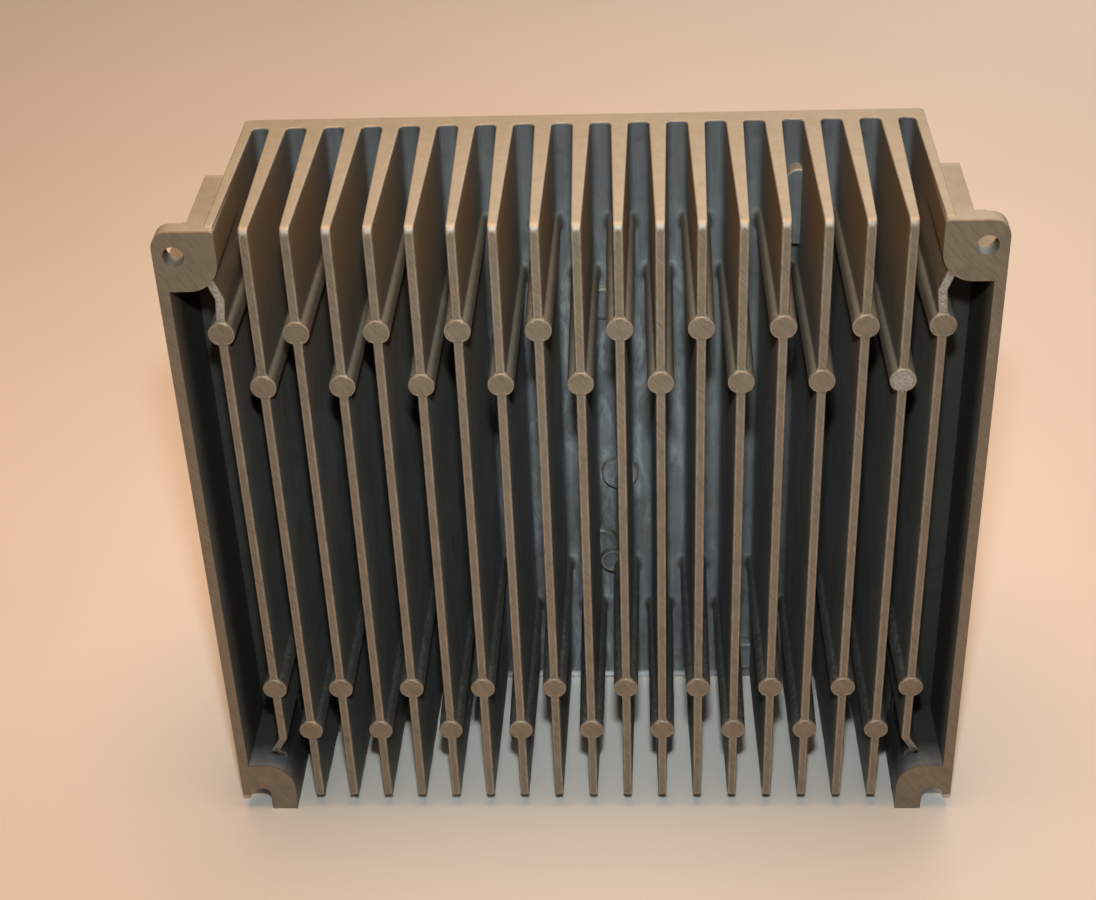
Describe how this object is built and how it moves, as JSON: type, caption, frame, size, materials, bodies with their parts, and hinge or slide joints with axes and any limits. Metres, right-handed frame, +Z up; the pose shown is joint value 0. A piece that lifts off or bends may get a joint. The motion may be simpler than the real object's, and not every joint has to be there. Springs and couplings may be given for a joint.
{
  "type": "micro inverter",
  "caption": "Solar micro inverter in a die-cast finned housing with slotted or drilled mounting ears, a lidded electronics tray and inlets underneath.",
  "frame": {"origin": "middle of the underside of the object's box, on the plane that it stands on", "axes": "+Z up, -Y the side with the fins and the ears' front faces, +Y the lid side, +X to the viewer's right when the fins are seen from the front"},
  "size_m": [0.2464, 0.112, 0.229],
  "materials": {
    "cast_aluminium": "bare sand-blasted die casting, satin grey-brown, brighter on worn front edges",
    "lid_aluminium": "bare die casting, satin grey",
    "plate_aluminium": "brushed, blank",
    "zinc_steel": "bright zinc plated",
    "black_rubber": "matt black",
    "black_plastic": "fine moulded texture, black",
    "grey_plastic": "smooth, dark grey",
    "clear_plastic": "clear, faintly green",
    "board_laminate": "green solder mask",
    "ferrite": "ground ceramic ferrite, dark grey",
    "copper_wire": "enamelled copper wire",
    "winding_tape": "yellow polyester tape",
    "capacitor_sleeve": "shrunk sleeve, dark blue",
    "film_box": "moulded box, yellow",
    "varistor_coat": "dipped epoxy, blue",
    "thermal_pad_grey": "soft pad, pale grey",
    "contact_silver": "plated contact metal"
  },
  "bodies": {
    "root": {"heatsink_casting": "cast_aluminium", "rear_lid": "lid_aluminium", "lid_gasket": "black_rubber", "rating_plate": "plate_aluminium", "status_lens": "clear_plastic", "lid_screw_01": "zinc_steel", "lid_screw_02": "zinc_steel", "lid_screw_03": "zinc_steel", "lid_screw_04": "zinc_steel", "lid_screw_05": "zinc_steel", "lid_screw_06": "zinc_steel", "lid_screw_07": "zinc_steel", "lid_screw_08": "zinc_steel", "lid_screw_09": "zinc_steel", "lid_screw_10": "zinc_steel", "board_screw_1": "zinc_steel", "board_screw_2": "zinc_steel", "board_screw_3": "zinc_steel", "board_screw_4": "zinc_steel", "clamp_screw_1": "zinc_steel", "clamp_screw_2": "zinc_steel", "earth_screw": "zinc_steel", "dc_inlet_positive": "black_plastic", "dc_inlet_positive_seal": "black_rubber", "dc_inlet_positive_nut": "black_plastic", "dc_inlet_positive_contact": "contact_silver", "dc_inlet_negative": "black_plastic", "dc_inlet_negative_seal": "black_rubber", "dc_inlet_negative_nut": "black_plastic", "dc_inlet_negative_contact": "contact_silver", "ac_inlet": "black_plastic", "ac_inlet_seal": "black_rubber", "ac_inlet_nut": "black_plastic", "ac_inlet_contact_1": "contact_silver", "ac_inlet_contact_2": "contact_silver", "ac_inlet_contact_3": "contact_silver", "vent_plug": "black_plastic", "circuit_board": "board_laminate", "transformer_core_1": "ferrite", "transformer_winding_1": "winding_tape", "transformer_core_2": "ferrite", "transformer_winding_2": "winding_tape", "input_capacitor_1": "capacitor_sleeve", "power_transistor_1": "black_plastic", "input_capacitor_2": "capacitor_sleeve", "power_transistor_2": "black_plastic", "input_capacitor_3": "capacitor_sleeve", "power_transistor_3": "black_plastic", "input_capacitor_4": "capacitor_sleeve", "power_transistor_4": "black_plastic", "thermal_pad": "thermal_pad_grey", "clamp_bar": "zinc_steel", "choke_core": "ferrite", "choke_winding_1": "copper_wire", "choke_winding_2": "copper_wire", "film_capacitor": "film_box", "grid_relay": "grey_plastic", "output_fuse": "contact_silver", "surge_varistor": "varistor_coat", "control_module": "board_laminate"}
  },
  "joints": []
}
